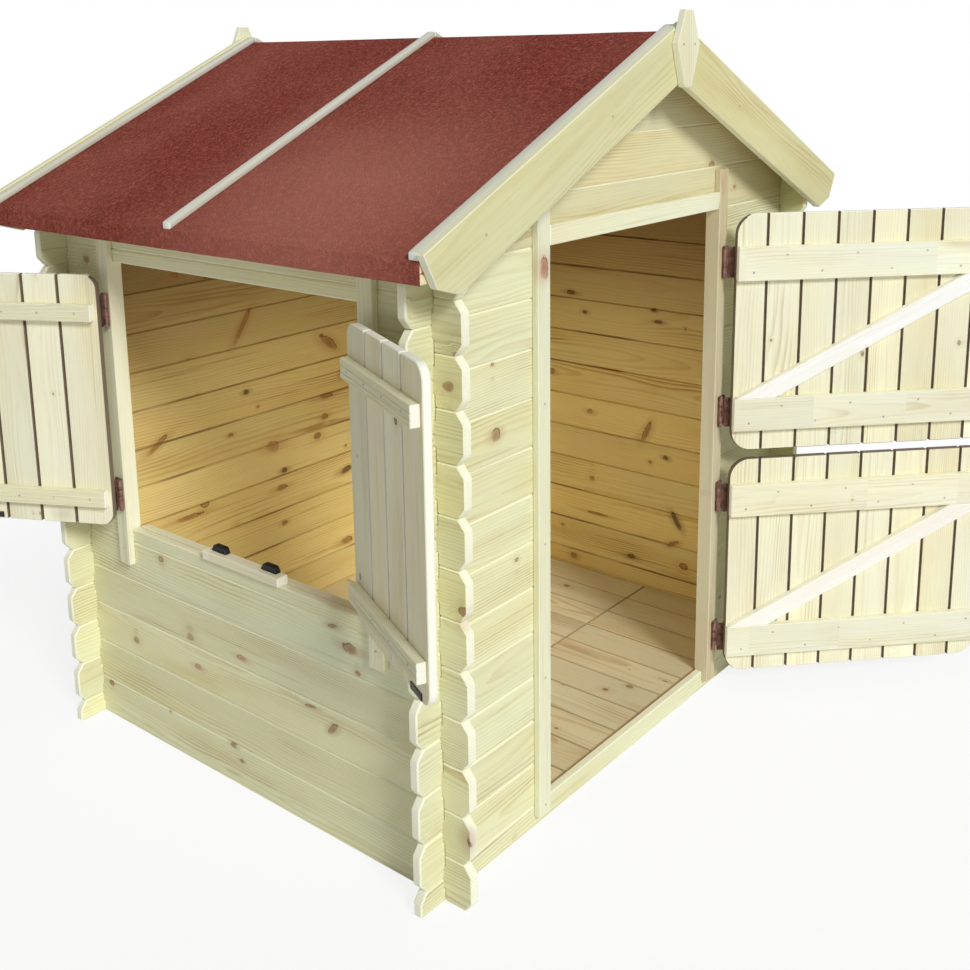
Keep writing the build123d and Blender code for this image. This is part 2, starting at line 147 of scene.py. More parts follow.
def standFor(piece, node):
    piece.name = piece.data.name = titleOf(node)
    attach(piece, bodyOfNode[node])
    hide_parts(node)


def boardNumbers(mesh):
    # The number of the loose part that each vertex belongs to
    edges = np.array([edge.vertices[:] for edge in mesh.edges])
    number = np.arange(len(mesh.vertices))
    while True:
        before = number.copy()
        lowest = np.minimum(number[edges[:, 0]], number[edges[:, 1]])
        np.minimum.at(number, edges[:, 0], lowest)
        np.minimum.at(number, edges[:, 1], lowest)
        number = number[number]
        if (number == before).all():
            return number


def mergedCopy(node):
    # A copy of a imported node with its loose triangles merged, selected all over
    selectOnly(frame["nodes"][node])
    bpy.ops.object.duplicate()
    bpy.ops.mesh.customdata_custom_splitnormals_clear()
    editMode()
    bpy.ops.mesh.select_all(action="SELECT")
    bpy.ops.mesh.remove_doubles(threshold=toolValues["mergeWithin"])
    objectMode()
    return bpy.context.active_object


def copyNode(node):
    # A merged copy with whole faces in place of triangles
    piece = mergedCopy(node)
    for key in [key for key in piece.keys() if key.startswith("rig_")]:
        del piece[key]
    editMode()
    bpy.ops.mesh.dissolve_limited(angle_limit=math.radians(toolValues["flatWithin"]))
    objectMode()
    return piece


def centresOf(node):
    # The middles of a node's loose parts
    piece = mergedCopy(node)
    points = np.array([vertex.co[:] for vertex in piece.data.vertices])
    number = boardNumbers(piece.data)
    parts = [points[number == n] for n in np.unique(number)]
    centres = [Vector((part.min(0) + part.max(0)) / 2) for part in parts]
    bpy.ops.object.delete()
    return centres


# Shader tools

def isSocket(value):
    return isinstance(value, bpy.types.NodeSocket)


def feed(socket, value):
    if isSocket(value):
        socket.id_data.links.new(value, socket)
    else:
        socket.default_value = value


def newNode(kind, *values, **settings):
    # A node in the tree that the sockets among the values belong to, its first inputs fed with them
    node = next(value.id_data for value in values if isSocket(value)).nodes.new(kind)
    for key, setting in settings.items():
        setattr(node, key, setting)
    for socket, value in zip(node.inputs, values):
        feed(socket, value)
    return node


def calc(operation, *values):
    return newNode("ShaderNodeMath", *values, operation=operation).outputs[0]


def times(first, *others):
    for other in others:
        first = calc("MULTIPLY", first, other)
    return first


def calcVector(operation, first, second):
    return newNode("ShaderNodeVectorMath", first, second, operation=operation).outputs[0]


def lengthOf(vector):
    return newNode("ShaderNodeVectorMath", vector, operation="LENGTH").outputs["Value"]


def joinXYZ(x, y, z):
    return newNode("ShaderNodeCombineXYZ", x, y, z).outputs[0]


def splitXYZ(vector):
    return newNode("ShaderNodeSeparateXYZ", vector).outputs[:]


def noiseAt(vector, scale=1.0, detail=2.0, roughness=0.5):
    node = newNode("ShaderNodeTexNoise", vector)
    for label, value in (("Scale", scale), ("Detail", detail), ("Roughness", roughness)):
        node.inputs[label].default_value = value
    return node.outputs["Fac"]


def grainNoise(point, stretch, detail=2.0, roughness=0.5):
    # Noise with its own scale along the board and across it
    along, across = stretch
    return noiseAt(calcVector("MULTIPLY", point, (along, across, across)), 1.0, detail, roughness)


def randomAt(vector):
    return newNode("ShaderNodeTexWhiteNoise", vector, noise_dimensions="3D").outputs


def ramp(value, low, high, outLow=0.0, outHigh=1.0):
    values = (value, low, high, outLow, outHigh)
    return newNode("ShaderNodeMapRange", *values, interpolation_type="SMOOTHSTEP").outputs[0]


def mixColour(share, first, second, mode="MIX"):
    tree = next(value.id_data for value in (share, first, second) if isSocket(value))
    node = tree.nodes.new("ShaderNodeMix")
    node.data_type = "RGBA"
    node.blend_type = mode
    # A mix node holds its colours in its seventh and eighth inputs
    for place, value in ((0, share), (6, first), (7, second)):
        feed(node.inputs[place], value)
    return node.outputs[2]


def tinted(base, tint):
    return mixColour(1.0, base, tint, "MULTIPLY")


def grey(value):
    return newNode("ShaderNodeCombineColor", value, value, value).outputs[0]


def objectPlace(tree):
    return tree.nodes.new("ShaderNodeTexCoord").outputs["Object"]


def newGroup(name, inputs, outputs):
    # A number makes a number socket, three numbers a vector and four a colour
    tree = bpy.data.node_groups.new(name, "ShaderNodeTree")
    kinds = {1: "NodeSocketFloat", 3: "NodeSocketVector", 4: "NodeSocketColor"}
    for label, value in inputs.items():
        kind = kinds[1 if isinstance(value, float) else len(value)]
        tree.interface.new_socket(name=label, in_out="INPUT", socket_type=kind).default_value = value
    for label, size in outputs.items():
        tree.interface.new_socket(name=label, in_out="OUTPUT", socket_type=kinds[size])
    entry = tree.nodes.new("NodeGroupInput")
    leave = tree.nodes.new("NodeGroupOutput")
    return tree, entry.outputs, leave.inputs


def useGroup(tree, group, values):
    node = tree.nodes.new("ShaderNodeGroup")
    node.node_tree = group
    for label, value in values.items():
        feed(node.inputs[label], value)
    return node


def colour(screen):
    # A colour written as 0 to 255, as a screen shows it, in the linear values that a socket takes
    values = [channel / 255 for channel in screen]
    return tuple(c / 12.92 if c <= 0.04045 else ((c + 0.055) / 1.055) ** 2.4 for c in values) + (1.0,)


# What a pine is unless its own values say otherwise: light and late wood, knots and sawn ends, distance of
# the rings, how strong rings and streaks are, share and size of the knots, glued length, spread of the tones
figureBasics = {
    "pale": (234, 236, 196), "late": (198, 174, 116), "knot": (150, 102, 66), "cut": (251, 252, 230),
    "spacing": 0.0048, "figure": 0.5, "streaks": 0.6, "knotShare": 0.4, "knotSize": 0.008, "joint": 60.0,
    "spread": 0.1,
}
figureValues = {
    # Knot cells in a metre along and across, their chance of a shift, and how round the knots are
    "knotCells": (3.6, 11.0), "cellShift": 0.9, "knotLong": 0.72, "smallKnot": 0.3, "noKnot": 0.00001,
    # How far a glued length shifts the log, and how much its tone counts
    "jointSeed": 3.7, "jointAside": 0.05, "jointDeep": 0.03, "jointTone": 0.6,
    # The scale of each noise along the board and across it
    "slow": (1.3, 6.0), "fine": (8.0, 55.0), "strong": (2.6, 20.0), "thread": (2.4, 190.0),
    "streaky": (1.4, 14.0), "fibre": (14.0, 520.0), "patchy": (2.6, 16.0), "drift": (1.5, 8.0),
    # How far the rings bend with the noises and round a knot
    "slowBend": 0.045, "fineBend": 0.0036, "knotBend": 1.8,
    "deep": (0.66, 0.56, 0.42, 1), "warm": (1.0, 0.91, 0.74, 1), "cool": (0.96, 0.98, 1.08, 1),
    "rim": (0.3, 0.24, 0.2, 1), "level": 0.985,
}


def socketValues(kind):
    # The values of a kind of pine that the figure takes
    values = {key: kind[key] for key in figureBasics}
    return {key: colour(value) if isinstance(value, tuple) else value for key, value in values.items()}


def buildPineFigure():
    # Growth rings cut from a log, with knots that the rings flow round
    v = figureValues
    sockets = {"grain": (0, 0, 0), "tone": 0.5, "endCut": 0.0, **socketValues(figureBasics)}
    tree, given, result = newGroup("pineFigure", sockets, {"Color": 4, "Height": 1, "Roughness": 1})
    x, y, z = splitXYZ(given["grain"])
    # Lengths glued end to end differ in figure and tone
    length = calc("FLOOR", calc("DIVIDE", x, given["joint"]))
    joint = randomAt(joinXYZ(length, given["tone"], v["jointSeed"]))["Value"]
    y = calc("MULTIPLY_ADD", joint, v["jointAside"], y)
    z = calc("MULTIPLY_ADD", joint, v["jointDeep"], z)
    point = joinXYZ(x, y, z)
    # Knots stand in cells along the board, and some cells have none
    cells = tree.nodes.new("ShaderNodeTexVoronoi")
    cells.voronoi_dimensions = "2D"
    cells.inputs["Scale"].default_value = 1.0
    cells.inputs["Randomness"].default_value = v["cellShift"]
    cellScale = (*v["knotCells"], 1.0)
    feed(cells.inputs["Vector"], calcVector("MULTIPLY", point, cellScale))
    sizeChance, shareChance, rimChance = splitXYZ(randomAt(cells.outputs["Position"])["Color"])
    away = calcVector("SUBTRACT", point, calcVector("DIVIDE", cells.outputs["Position"], cellScale))
    reach = lengthOf(calcVector("MULTIPLY", away, (v["knotLong"], 1, 0)))
    grown = times(given["knotSize"], ramp(sizeChance, 0.0, 1.0, v["smallKnot"], 1.0))
    present = calc("LESS_THAN", shareChance, given["knotShare"])
    size = calc("MULTIPLY_ADD", grown, present, v["noKnot"])
    uneven = noiseAt(given["grain"], 80.0)
    distance = times(calc("DIVIDE", reach, size), ramp(uneven, 0.2, 0.8, 0.88, 1.14))
    core = ramp(distance, 0.7, 1.08, 1.0, 0.0)
    rim = times(ramp(distance, 0.72, 0.95), ramp(distance, 1.0, 1.3, 1.0, 0.0))
    halo = ramp(distance, 0.9, 4.2, 1.0, 0.0)
    # Rings, with a pale early side and a darker late one
    field = lengthOf(calcVector("MULTIPLY", point, (0, 1, 1)))
    field = calc("MULTIPLY_ADD", grainNoise(point, v["slow"]), v["slowBend"], field)
    field = calc("MULTIPLY_ADD", grainNoise(point, v["fine"]), v["fineBend"], field)
    field = calc("ADD", field, times(halo, halo, size, v["knotBend"]))
    phase = calc("FRACT", calc("DIVIDE", field, given["spacing"]))
    line = times(ramp(phase, 0.35, 0.9), ramp(phase, 0.92, 1.0, 1.0, 0.0))
    strong = grainNoise(point, v["strong"])
    bold = times(line, ramp(strong, 0.55, 0.72), given["streaks"])
    line = times(line, ramp(strong, 0.35, 0.7, 0.3, 1.0), given["figure"])
    thread = ramp(grainNoise(point, v["thread"]), 0.56, 0.74)
    streak = times(thread, ramp(grainNoise(point, v["streaky"], 1.0), 0.46, 0.66))
    fibre = grainNoise(point, v["fibre"], 3.0, 0.6)
    # Late wood, streaks and patches
    body = mixColour(line, given["pale"], given["late"])
    deep = tinted(given["late"], v["deep"])
    body = mixColour(times(streak, given["streaks"], 0.8), body, deep)
    body = mixColour(times(bold, 0.7), body, deep)
    patchy = grainNoise(point, v["patchy"], 3.0)
    body = mixColour(ramp(patchy, 0.45, 0.8, 0.0, 0.28), body, given["late"])
    # Each board's and each glued length's own tone
    jointTone = times(calc("SUBTRACT", joint, 0.5), v["jointTone"])
    tone = calc("ADD", calc("SUBTRACT", given["tone"], 0.5), jointTone)
    level = calc("MULTIPLY_ADD", tone, given["spread"], v["level"])
    body = tinted(body, grey(times(level, ramp(fibre, 0.3, 0.75, 1.025, 0.955))))
    drift = grainNoise(point, v["drift"])
    warmth = times(ramp(calc("FRACT", times(given["tone"], 7.31)), 0.3, 1.0), 0.3)
    warmth = calc("ADD", warmth, ramp(drift, 0.48, 0.72, 0.0, 0.4))
    body = mixColour(warmth, body, tinted(body, v["warm"]))
    body = mixColour(ramp(drift, 0.28, 0.46, 0.5, 0.0), body, tinted(body, v["cool"]))
    # Knots and sawn ends
    body = mixColour(times(halo, 0.34), body, given["late"])
    innerRings = calc("FRACT", times(distance, 3.2))
    knotBody = mixColour(times(innerRings, 0.35), given["knot"], given["late"])
    body = mixColour(times(core, 0.85), body, knotBody)
    rimShare = times(rim, ramp(rimChance, 0.2, 0.9, 0.25, 0.9))
    body = mixColour(rimShare, body, tinted(given["knot"], v["rim"]))
    cut = mixColour(times(line, 0.5), given["cut"], body)
    feed(result["Color"], mixColour(times(given["endCut"], 0.85), body, cut))
    height = calc("MULTIPLY_ADD", line, -0.55, times(fibre, 0.35))
    feed(result["Height"], calc("MULTIPLY_ADD", rim, -0.5, height))
    feed(result["Roughness"], ramp(fibre, 0.2, 0.8, 0.5, 0.68))
    return tree


def buildRoomMask():
    # 1 on the faces that look into the room
    sockets = {"Position": (0, 0, 0), "Half width": 0.5945, "Half depth": 0.4945}
    tree, given, result = newGroup("roomMask", sockets, {"Inside": 1})
    edge = 0.001
    masks = []
    for value, label in zip(splitXYZ(given["Position"]), ("Half width", "Half depth")):
        masks.append(ramp(calc("SUBTRACT", given[label], calc("ABSOLUTE", value)), -edge, edge))
    feed(result["Inside"], times(*masks))
    return tree


def buildPlacedKnot():
    # One knot at a chosen place, which may lean along the board
    tree, given, result = newGroup("placedKnot", {
        "Base": (0.8, 0.8, 0.6, 1), "Position": (0, 0, 0), "Uneven": 1.0, "Centre": (0, 0, 0),
        "Size": (0.01, 0.01, 0.01), "Lean": (0, 0, 0), "Middle": (0.4, 0.2, 0.1, 1),
        "Edge": (0.2, 0.1, 0.05, 1),
    }, {"Color": 4})
    apart = calcVector("SUBTRACT", given["Position"], given["Centre"])
    rise = splitXYZ(apart)[2]
    lean = calcVector("MULTIPLY", joinXYZ(rise, rise, rise), given["Lean"])
    away = calcVector("DIVIDE", calcVector("ADD", apart, lean), given["Size"])
    distance = times(lengthOf(away), given["Uneven"])
    flow = lengthOf(calcVector("MULTIPLY", away, (0.42, 0.42, 0.72)))
    body = mixColour(ramp(flow, 0.35, 1.5, 0.42, 0.0), given["Base"], given["Middle"])
    heart = mixColour(ramp(distance, 0.1, 0.9, 0.55, 0.1), given["Middle"], given["Edge"])
    body = mixColour(ramp(distance, 0.55, 1.15, 0.82, 0.0), body, heart)
    # The rim is darker on one side
    x, y, z = splitXYZ(away)
    side = ramp(calc("ADD", calc("ADD", x, y), z), -0.9, 0.7, 0.1, 0.85)
    rim = times(ramp(distance, 0.68, 0.92), ramp(distance, 0.98, 1.2, 1.0, 0.0))
    feed(result["Color"], mixColour(times(rim, side), body, given["Edge"]))
    return tree


pineFigure = buildPineFigure()
placedKnot = buildPlacedKnot()
roomMask = buildRoomMask()
print("shader groups built")


def newMaterial(name, specular):
    material = bpy.data.materials.new(name)
    material.use_nodes = True
    tree = material.node_tree
    tree.nodes.clear()
    shader = tree.nodes.new("ShaderNodeBsdfPrincipled")
    feed(shader.inputs["Specular IOR Level"], specular)
    output = tree.nodes.new("ShaderNodeOutputMaterial")
    tree.links.new(shader.outputs[0], output.inputs[0])
    return material, tree, shader.inputs


def attribute(tree, name):
    node = tree.nodes.new("ShaderNodeAttribute")
    node.attribute_name = name
    return node.outputs


def bumpFrom(height, strength, distance):
    node = height.id_data.nodes.new("ShaderNodeBump")
    for label, value in (("Strength", strength), ("Distance", distance), ("Height", height)):
        feed(node.inputs[label], value)
    return node.outputs[0]


# Beyond the figure: the colour of the chamfers along the seams, pale as a painted highlight unless a kind
# gives a darker one as painted shade, and its share; the colour painted on the leaves' hinge sides as shade;
# the room's tint and the placed knots
pineBasics = {
    **figureBasics, "seam": (252, 252, 228), "seamShare": 0.45, "shade": None, "room": None, "knots": [],
}
# The middle and the edge of each kind of placed knot
knotKinds = {
    "reddish": ((198, 160, 130), (168, 122, 94)),
    "brown": ((178, 146, 104), (122, 88, 56)),
    "oval": ((190, 136, 104), (124, 72, 50)),
    "grey": ((150, 140, 116), (108, 94, 72)),
    "patch": ((166, 96, 72), (110, 58, 42)),
    "resin": ((198, 146, 84), (152, 100, 50)),
    "roomDark": ((120, 82, 42), (70, 42, 20)),
    "roomBrown": ((174, 130, 70), (122, 80, 38)),
    "roomPale": ((196, 154, 96), (156, 112, 62)),
}


def knotsAlong(axis, plane, deep, rows):
    # Rows of place along the axis, height, half length, half height, lean and kind, on an upright plane
    knots = []
    for along, z, long, tall, lean, kind in rows:
        if axis == "x":
            knots.append(((along, plane, z), (long, deep, tall), (lean, 0, 0), kind))
        else:
            knots.append(((plane, along, z), (deep, long, tall), (0, lean, 0), kind))
    return knots


outerKnots = knotsAlong("x", -0.510, 0.010, [(-0.458, 0.795, 0.011, 0.011, 0, "brown")])
outerKnots += knotsAlong("y", -0.610, 0.010, [
    (0.002, 0.285, 0.013, 0.006, 0, "reddish"),
    (-0.300, 0.402, 0.018, 0.009, 0, "brown"),
    (-0.256, 0.432, 0.010, 0.005, 1.2, "brown"),
    (0.044, 0.084, 0.008, 0.006, 0, "brown"),
    (0.020, 0.058, 0.006, 0.004, 0, "brown"),
    (0.141, 0.221, 0.011, 0.006, 0, "reddish"),
    (-0.247, 0.227, 0.008, 0.012, 0.7, "brown"),
    (-0.190, 0.252, 0.013, 0.004, 1.5, "brown"),
])
outerKnots += knotsAlong("x", -0.570, 0.012, [
    (-0.622, 0.148, 0.011, 0.022, 0.3, "patch"),
    (-0.640, 0.526, 0.022, 0.010, 0, "resin"),
])
backKnots = knotsAlong("x", 0.491, 0.009, [
    (-0.167, 0.635, 0.008, 0.006, 0, "roomDark"),
    (-0.093, 0.478, 0.020, 0.014, 0, "roomPale"),
    (-0.059, 0.407, 0.010, 0.007, 0, "roomDark"),
    (-0.072, 0.364, 0.018, 0.007, 0, "roomBrown"),
    (-0.067, 0.269, 0.009, 0.006, 0, "roomBrown"),
    (0.110, 0.704, 0.016, 0.024, 0.9, "roomBrown"),
    (0.156, 0.620, 0.008, 0.015, -0.4, "roomDark"),
    (0.091, 0.565, 0.022, 0.007, 0, "roomBrown"),
    (0.083, 0.512, 0.012, 0.008, 0, "roomBrown"),
    (0.152, 0.349, 0.016, 0.009, -0.8, "roomDark"),
    (0.145, 0.151, 0.020, 0.009, 0, "roomBrown"),
    (-0.221, 0.541, 0.008, 0.005, 0, "roomBrown"),
    (-0.168, 0.799, 0.009, 0.040, -0.7, "roomBrown"),
    (-0.354, 0.946, 0.012, 0.007, 0, "roomBrown"),
    (-0.429, 0.570, 0.012, 0.018, -1.4, "roomBrown"),
    (-0.356, 0.375, 0.036, 0.006, 0, "roomBrown"),
])
farKnots = knotsAlong("y", 0.591, 0.009, [
    (0.070, 0.806, 0.014, 0.006, 0, "roomDark"),
    (0.026, 0.759, 0.007, 0.005, 0, "roomDark"),
    (-0.183, 0.789, 0.007, 0.005, 0, "roomDark"),
    (-0.198, 0.760, 0.011, 0.005, 0, "roomDark"),
    (0.132, 0.581, 0.010, 0.008, 0, "roomBrown"),
    (0.008, 0.490, 0.010, 0.007, 0, "roomPale"),
    (-0.167, 0.467, 0.008, 0.028, 0.4, "roomBrown"),
    (-0.225, 0.408, 0.008, 0.006, 0, "roomDark"),
    (-0.020, 0.208, 0.034, 0.004, 0, "roomBrown"),
    (-0.260, 0.246, 0.008, 0.022, -0.6, "roomDark"),
    (-0.251, 0.181, 0.010, 0.011, 1.2, "roomBrown"),
    (-0.126, 0.114, 0.013, 0.007, 0, "roomDark"),
    (0.058, 0.068, 0.010, 0.009, 0, "roomBrown"),
])
casingKnots = knotsAlong("x", -0.524, 0.012, [(-0.339, 1.065, 0.011, 0.021, 0, "oval")])
shutterKnots = knotsAlong("x", 0.441, 0.012, [(-0.686, 0.507, 0.012, 0.012, 0, "grey")])
roomTint = (252, 228, 184)
pineKinds = {
    "wallPine": {"room": roomTint, "knots": outerKnots},
    "backPine": {"room": roomTint, "knots": backKnots},
    "farPine": {"room": roomTint, "knots": farKnots},
    # The gable boards are painted darker, as shade under the roof
    "gablePine": {"pale": (226, 222, 180), "late": (190, 158, 104), "room": roomTint},
    "trimPine": {
        "pale": (236, 238, 208), "late": (210, 190, 140), "figure": 0.36, "streaks": 0.3, "knotShare": 0.1,
        "knotSize": 0.006, "spread": 0.06, "seamShare": 0.3, "knots": casingKnots,
    },
    # The right door casing: pinker pine, and darker as painted shade
    "rosyShadedPine": {
        "pale": (212, 203, 168), "late": (184, 158, 120), "cut": (222, 214, 186), "knotShare": 0.5,
        "knotSize": 0.007, "seamShare": 0.2,
    },
    "bargePine": {
        "pale": (222, 220, 172), "late": (198, 174, 112), "figure": 0.4, "streaks": 0.4, "knotShare": 0.2,
        "knotSize": 0.006, "spread": 0.05, "seamShare": 0.5,
    },
    # The laths' rounded sides take the grey seam colour as painted shade
    "lathPine": {
        "pale": (228, 230, 216), "late": (190, 188, 166), "cut": (244, 246, 238), "figure": 0.45,
        "streaks": 0.4, "knotShare": 0.05, "knotSize": 0.004, "spread": 0.05, "seam": (176, 174, 156),
        "seamShare": 0.4,
    },
    "leafPine": {
        "pale": (244, 243, 214), "late": (212, 192, 144), "knot": (112, 78, 50), "cut": (254, 254, 242),
        "figure": 0.4, "streaks": 0.45, "knotShare": 0.34, "knotSize": 0.0055, "spread": 0.14,
        # The shade colour is painted on the hinge sides and meeting edges as shade
        "seam": (254, 254, 238), "seamShare": 0.6, "shade": (88, 64, 38), "knots": shutterKnots,
    },
    "ledgePine": {
        "pale": (243, 243, 218), "late": (220, 204, 156), "knot": (120, 84, 54), "cut": (254, 254, 242),
        "figure": 0.4, "streaks": 0.35, "knotShare": 0.2, "knotSize": 0.0035, "joint": 0.21, "spread": 0.16,
    },
    "slatPine": {
        "pale": (232, 231, 196), "late": (204, 188, 138), "cut": (254, 254, 242), "figure": 0.4,
        "streaks": 0.5, "knotShare": 0.1, "knotSize": 0.0035, "seamShare": 0.2,
    },
    "bracePine": {
        "pale": (255, 255, 252), "late": (240, 237, 222), "knot": (150, 134, 112), "cut": (255, 255, 252),
        "figure": 0.3, "streaks": 0.2, "knotShare": 0.1, "knotSize": 0.003, "spread": 0.03,
    },
    "floorPine": {
        "pale": (216, 207, 170), "late": (180, 150, 106), "knot": (124, 80, 48), "cut": (150, 122, 86),
        "knotShare": 0.3, "knotSize": 0.006, "spread": 0.12, "seam": (138, 108, 70), "seamShare": 0.6,
    },
    "innerPine": {
        "pale": (232, 206, 154), "late": (194, 150, 94), "knot": (122, 74, 42), "cut": (236, 224, 184),
        "seam": (160, 116, 70), "seamShare": 0.5,
    },
}
# Inside the room the seams are painted dark in patches, as shade in the open gaps, and the boards are painted
# darker towards the roof, as shade
roomValues = {
    "knotShare": 0.3, "figure": 0.62, "streaks": 0.95, "seam": (122, 82, 40), "seamLow": 0.15,
    "seamHigh": 0.7, "paintedRoofShadeFrom": 0.6, "paintedRoofShadeTo": 1.05, "dusk": (170, 156, 148),
}


def pineMaterial(name):
    kind = {**pineBasics, **pineKinds[name]}
    material, tree, surface = newMaterial(name, 0.3)
    place = objectPlace(tree)
    figure = useGroup(tree, pineFigure, {
        "grain": attribute(tree, "grainPoint")["Vector"],
        "tone": attribute(tree, "boardTone")["Fac"],
        "endCut": attribute(tree, "endCut")["Fac"],
        **socketValues(kind),
    })
    base = figure.outputs["Color"]
    # The chamfers along the seams take the kind's seam colour: pale ones are a painted highlight, dark ones
    # painted shade
    seam = attribute(tree, "seamSide")["Fac"]
    body = mixColour(times(seam, kind["seamShare"]), base, colour(kind["seam"]))
    # The sides by the hinge and the meeting edges of the door leaves are painted dark, as shade
    if kind["shade"]:
        shaded = times(attribute(tree, "paintedShadeSide")["Fac"], 0.9)
        body = mixColour(shaded, body, colour(kind["shade"]))
    if kind["room"]:
        inside = useGroup(tree, roomMask, {"Position": place}).outputs["Inside"]
        for key in ("knotShare", "figure", "streaks"):
            feed(figure.inputs[key], ramp(inside, 0.0, 1.0, kind[key], roomValues[key]))
        inner = tinted(base, colour(kind["room"]))
        # Painted shade: the seams inside are dark in patches, as shade in the gaps
        openSeamShade = ramp(noiseAt(place, 4.0, 1.0), 0.45, 0.68, roomValues["seamLow"], roomValues["seamHigh"])
        inner = mixColour(times(seam, openSeamShade), inner, colour(roomValues["seam"]))
        # Painted shade: the boards inside are painted darker towards the roof
        dusk = ramp(splitXYZ(place)[2], roomValues["paintedRoofShadeFrom"], roomValues["paintedRoofShadeTo"])
        inner = mixColour(dusk, inner, tinted(inner, colour(roomValues["dusk"])))
        body = mixColour(inside, body, inner)
    if kind["knots"]:
        uneven = ramp(noiseAt(place, 75.0), 0.25, 0.75, 0.85, 1.18)
    for centre, size, lean, knotKind in kind["knots"]:
        middle, edge = knotKinds[knotKind]
        body = useGroup(tree, placedKnot, {
            "Base": body, "Position": place, "Uneven": uneven, "Centre": centre, "Size": size, "Lean": lean,
            "Middle": colour(middle), "Edge": colour(edge),
        }).outputs["Color"]
    feed(surface["Base Color"], body)
    feed(surface["Roughness"], figure.outputs["Roughness"])
    feed(surface["Normal"], bumpFrom(figure.outputs["Height"], 0.5, 0.0004))
    return material


pines = {name: pineMaterial(name) for name in pineKinds}

feltValues = {
    "dark": (98, 34, 24), "middle": (146, 62, 48), "light": (208, 134, 116),
    # The paler patch is a painted highlight of the light's sheen
    "granule": 420.0, "clump": 120.0, "bleachAt": (-0.56, -0.28, 1.13), "paintedSheenSize": 0.5, "bleach": 0.5,
    "acrossCuts": 36, "downCuts": 22, "wave": 0.0016, "waveSize": 0.16, "edge": 0.0006,
}


def feltMaterial():
    v = feltValues
    material, tree, surface = newMaterial("redFelt", 0.2)
    dark, middle, light = (colour(v[key]) for key in ("dark", "middle", "light"))
    place = objectPlace(tree)
    grains = tree.nodes.new("ShaderNodeTexVoronoi")
    grains.inputs["Scale"].default_value = v["granule"]
    feed(grains.inputs["Vector"], place)
    chance = randomAt(grains.outputs["Position"])["Value"]
    clump = noiseAt(place, v["clump"], 4.0, 0.75)
    broad = noiseAt(place, 3.5, 3.0)
    body = mixColour(ramp(clump, 0.32, 0.6), dark, middle)
    body = mixColour(ramp(clump, 0.54, 0.76, 0.0, 0.6), body, light)
    body = mixColour(ramp(chance, 0.0, 0.4, 0.45, 0.0), body, dark)
    body = mixColour(ramp(chance, 0.78, 1.0, 0.0, 0.3), body, light)
    body = mixColour(ramp(broad, 0.4, 0.7, 0.0, 0.14), body, light)
    # A painted highlight: the felt is paler in a broad patch where the light's sheen falls
    toSheen = lengthOf(calcVector("SUBTRACT", place, v["bleachAt"]))
    sheenShare = ramp(calc("DIVIDE", toSheen, v["paintedSheenSize"]), 0.1, 1.0, v["bleach"], 0.0)
    feed(surface["Base Color"], mixColour(sheenShare, body, light))
    feed(surface["Roughness"], 0.92)
    height = calc("ADD", times(grains.outputs["Distance"], -1.0), times(clump, 1.2))
    feed(surface["Normal"], bumpFrom(height, 0.9, 0.0018))
    return material


# Two colours in patches, the noise of the patches and where it turns, fine scratches, roughness between them
plainBasics = {
    "stain": (90.0, 4.0, 0.6), "turns": (0.35, 0.68), "scratch": 700.0, "bump": 0.25, "metallic": 0.0,
    "specular": 0.5,
}
plainKinds = {
    "copperPlate": {"main": (128, 92, 76), "other": (82, 56, 44), "roughness": (0.34, 0.54), "metallic": 0.6},
    # The knuckles take a lighter copy of the plates' copper, as a painted highlight
    "highlightKnuckleCopper": {
        "main": (164, 122, 112), "other": (104, 72, 64), "roughness": (0.28, 0.48), "metallic": 0.6,
    },
    "zincScrew": {
        "main": (212, 209, 196), "other": (172, 168, 154), "roughness": (0.42, 0.62), "metallic": 0.2,
    },
    "darkSteel": {"main": (64, 60, 58), "other": (40, 38, 38), "roughness": (0.32, 0.52), "metallic": 0.8},
    "blackPlastic": {
        "main": (16, 16, 18), "other": (28, 28, 30), "roughness": (0.38, 0.5), "stain": (900.0,),
        "turns": (0.3, 0.7), "scratch": 900.0, "bump": 0.2, "specular": 0.25,
    },
    # Painted shade: the dark colour of the tongues at the bottom of the slots
    "slotPaintedShade": {
        "main": (92, 76, 50), "other": (116, 98, 68), "roughness": (0.8, 0.8), "stain": (40.0, 3.0),
        "turns": (0.3, 0.7), "bump": 0,
    },
}


def plainMaterial(name):
    kind = {**plainBasics, **plainKinds[name]}
    material, tree, surface = newMaterial(name, kind["specular"])
    place = objectPlace(tree)
    stain = ramp(noiseAt(place, *kind["stain"]), *kind["turns"])
    scratch = noiseAt(place, kind["scratch"])
    feed(surface["Base Color"], mixColour(stain, colour(kind["main"]), colour(kind["other"])))
    feed(surface["Roughness"], ramp(scratch, 0.2, 0.8, *kind["roughness"]))
    feed(surface["Metallic"], kind["metallic"])
    if kind["bump"]:
        feed(surface["Normal"], bumpFrom(scratch, kind["bump"], 0.0002))
    return material


redFelt = feltMaterial()
plains = {name: plainMaterial(name) for name in plainKinds}
print("materials built")


# Wooden pieces

seedValues = {"house": 11, "leafBoards": 101, "ledges": 131, "braces": 151, "screws": 5}
logValues = {
    # Where a board lies in its log, and how far a face may lean and still be an end, a side or a seam
    "along": (5, 60), "aside": 0.1, "deep": (0.015, 0.08),
    "endFrom": 0.3, "sideBelow": 0.4, "seamBelow": 0.95,
}


